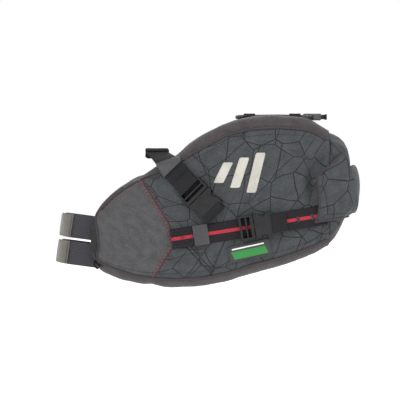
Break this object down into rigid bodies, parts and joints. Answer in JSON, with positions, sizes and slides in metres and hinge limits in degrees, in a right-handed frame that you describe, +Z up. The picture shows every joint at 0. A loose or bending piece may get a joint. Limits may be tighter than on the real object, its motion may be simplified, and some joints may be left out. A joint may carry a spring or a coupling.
{
  "type": "saddle bag",
  "caption": "Roll-top saddle bag: tapered fabric shell strapped round the seatpost and hung from the saddle rails, with buckled compression straps and elastic lacing on top.",
  "frame": {"origin": "on the seatpost's axis, halfway up the upper post strap", "axes": "+X to the rear of the bicycle along the bag, +Z up, -Y to the bicycle's left"},
  "size_m": [0.3222, 0.1368, 0.1805],
  "materials": {
    "black_oxford": "coated weave",
    "grey_oxford": "coated weave",
    "printed_oxford": "coated weave with a fine dark line print",
    "stiffener_sheet": "extruded sheet",
    "striped_webbing": "woven webbing with a red centre stripe",
    "black_webbing": "woven webbing",
    "reflective_film": "glass-bead reflective",
    "acetal": "moulded satin",
    "hook_tape": "hook and loop",
    "post_webbing": "woven",
    "shock_cord": "braided sheath",
    "label_weave": "woven label",
    "spring_steel": "drawn wire"
  },
  "bodies": {
    "root": {"base_stiffener": "stiffener_sheet", "bottom_panel": "black_oxford", "cord_knots": "shock_cord", "cord_lock_barrel": "acetal", "cord_lock_spring": "spring_steel", "cord_loops": "black_webbing", "left_front_strap": "striped_webbing", "left_gusset": "grey_oxford", "left_rail_anchor": "black_webbing", "left_rail_socket": "acetal", "left_rail_strap": "black_webbing", "left_rail_tab": "reflective_film", "left_reflective_bars": "reflective_film", "left_side_panel": "printed_oxford", "left_side_tab": "reflective_film", "lower_post_strap": "post_webbing", "nose_panel": "black_oxford", "nose_stiffener": "stiffener_sheet", "right_front_strap": "striped_webbing", "right_gusset": "grey_oxford", "right_rail_anchor": "black_webbing", "right_rail_socket": "acetal", "right_rail_strap": "black_webbing", "right_rail_tab": "reflective_film", "right_reflective_bars": "reflective_film", "right_side_panel": "printed_oxford", "right_side_tab": "reflective_film", "shock_cord": "shock_cord", "top_panel": "black_oxford", "upper_post_strap": "post_webbing", "woven_label": "label_weave"},
    "left_side_plug": {"left_side_plug": "acetal"},
    "left_side_upper_latch": {"left_side_upper_latch": "acetal"},
    "left_side_lower_latch": {"left_side_lower_latch": "acetal"},
    "left_rail_plug": {"left_rail_plug": "acetal"},
    "left_rail_upper_latch": {"left_rail_upper_latch": "acetal"},
    "left_rail_lower_latch": {"left_rail_lower_latch": "acetal"},
    "right_side_plug": {"right_side_plug": "acetal"},
    "right_side_upper_latch": {"right_side_upper_latch": "acetal"},
    "right_side_lower_latch": {"right_side_lower_latch": "acetal"},
    "right_rail_plug": {"right_rail_plug": "acetal"},
    "right_rail_upper_latch": {"right_rail_upper_latch": "acetal"},
    "right_rail_lower_latch": {"right_rail_lower_latch": "acetal"},
    "closure": {"rear_collar": "black_oxford", "closure_roll": "grey_oxford", "closure_strip": "stiffener_sheet", "left_end_flap": "printed_oxford", "left_rear_strap": "striped_webbing", "left_side_socket": "acetal", "right_end_flap": "printed_oxford", "right_rear_strap": "striped_webbing", "right_side_socket": "acetal"},
    "upper_strap_tail": {"upper_strap_tail": "hook_tape"},
    "lower_strap_tail": {"lower_strap_tail": "hook_tape"},
    "lock_plunger": {"cord_lock_plunger": "acetal"}
  },
  "joints": [
    {"name": "left_side_plug_slide", "type": "slide", "parent": "root", "child": "left_side_plug", "axis": [-0.9871, 0, -0.1599], "range_m": [0, 0.02]},
    {"name": "left_side_upper_press", "type": "hinge", "parent": "left_side_plug", "child": "left_side_upper_latch", "pos_m": [0.18376, -0.062, 0.00762], "axis": [0, 1, 0], "range_deg": [0, 8], "stiffness_Nm_per_rad": 0.05},
    {"name": "left_side_lower_press", "type": "hinge", "parent": "left_side_plug", "child": "left_side_lower_latch", "pos_m": [0.1859, -0.062, -0.0056], "axis": [0, -1, 0], "range_deg": [0, 8], "stiffness_Nm_per_rad": 0.05},
    {"name": "left_rail_plug_slide", "type": "slide", "parent": "root", "child": "left_rail_plug", "axis": [-0.6839, 0.1416, 0.7157], "range_m": [0, 0.02]},
    {"name": "left_rail_upper_press", "type": "hinge", "parent": "left_rail_plug", "child": "left_rail_upper_latch", "pos_m": [0.13328, -0.05693, 0.03583], "axis": [0.2027, 0.9792, 0], "range_deg": [0, 8], "stiffness_Nm_per_rad": 0.05},
    {"name": "left_rail_lower_press", "type": "hinge", "parent": "left_rail_plug", "child": "left_rail_lower_latch", "pos_m": [0.12389, -0.05499, 0.02648], "axis": [-0.2027, -0.9792, 0], "range_deg": [0, 8], "stiffness_Nm_per_rad": 0.05},
    {"name": "right_side_plug_slide", "type": "slide", "parent": "root", "child": "right_side_plug", "axis": [-0.9871, 0, -0.1599], "range_m": [0, 0.02]},
    {"name": "right_side_upper_press", "type": "hinge", "parent": "right_side_plug", "child": "right_side_upper_latch", "pos_m": [0.1859, 0.062, -0.0056], "axis": [0, -1, 0], "range_deg": [0, 8], "stiffness_Nm_per_rad": 0.05},
    {"name": "right_side_lower_press", "type": "hinge", "parent": "right_side_plug", "child": "right_side_lower_latch", "pos_m": [0.18376, 0.062, 0.00762], "axis": [0, 1, 0], "range_deg": [0, 8], "stiffness_Nm_per_rad": 0.05},
    {"name": "right_rail_plug_slide", "type": "slide", "parent": "root", "child": "right_rail_plug", "axis": [-0.6839, -0.1416, 0.7157], "range_m": [0, 0.02]},
    {"name": "right_rail_upper_press", "type": "hinge", "parent": "right_rail_plug", "child": "right_rail_upper_latch", "pos_m": [0.12389, 0.05499, 0.02648], "axis": [0.2027, -0.9792, 0], "range_deg": [0, 8], "stiffness_Nm_per_rad": 0.05},
    {"name": "right_rail_lower_press", "type": "hinge", "parent": "right_rail_plug", "child": "right_rail_lower_latch", "pos_m": [0.13328, 0.05693, 0.03583], "axis": [-0.2027, 0.9792, 0], "range_deg": [0, 8], "stiffness_Nm_per_rad": 0.05},
    {"name": "closure_unroll", "type": "slide", "parent": "root", "child": "closure", "axis": [0.9871, 0, 0.1599], "range_m": [0, 0.06]},
    {"name": "upper_tail_peel", "type": "hinge", "parent": "root", "child": "upper_strap_tail", "pos_m": [-0.01688, 0.00149, 0.0023], "axis": [-0.1349, 0, -0.9909], "range_deg": [0, 70]},
    {"name": "lower_tail_peel", "type": "hinge", "parent": "root", "child": "lower_strap_tail", "pos_m": [-0.02067, 0.00149, -0.02555], "axis": [-0.1349, 0, -0.9909], "range_deg": [0, 70]},
    {"name": "lock_plunger_press", "type": "slide", "parent": "root", "child": "lock_plunger", "axis": [-1, 0, 0], "range_m": [0, 0.0035], "stiffness_N_per_m": 200}
  ],
  "couplings": [
    {"joint": "left_side_lower_press", "follows": "left_side_upper_press", "ratio": 1},
    {"joint": "left_rail_lower_press", "follows": "left_rail_upper_press", "ratio": 1},
    {"joint": "right_side_lower_press", "follows": "right_side_upper_press", "ratio": 1},
    {"joint": "right_rail_lower_press", "follows": "right_rail_upper_press", "ratio": 1}
  ]
}
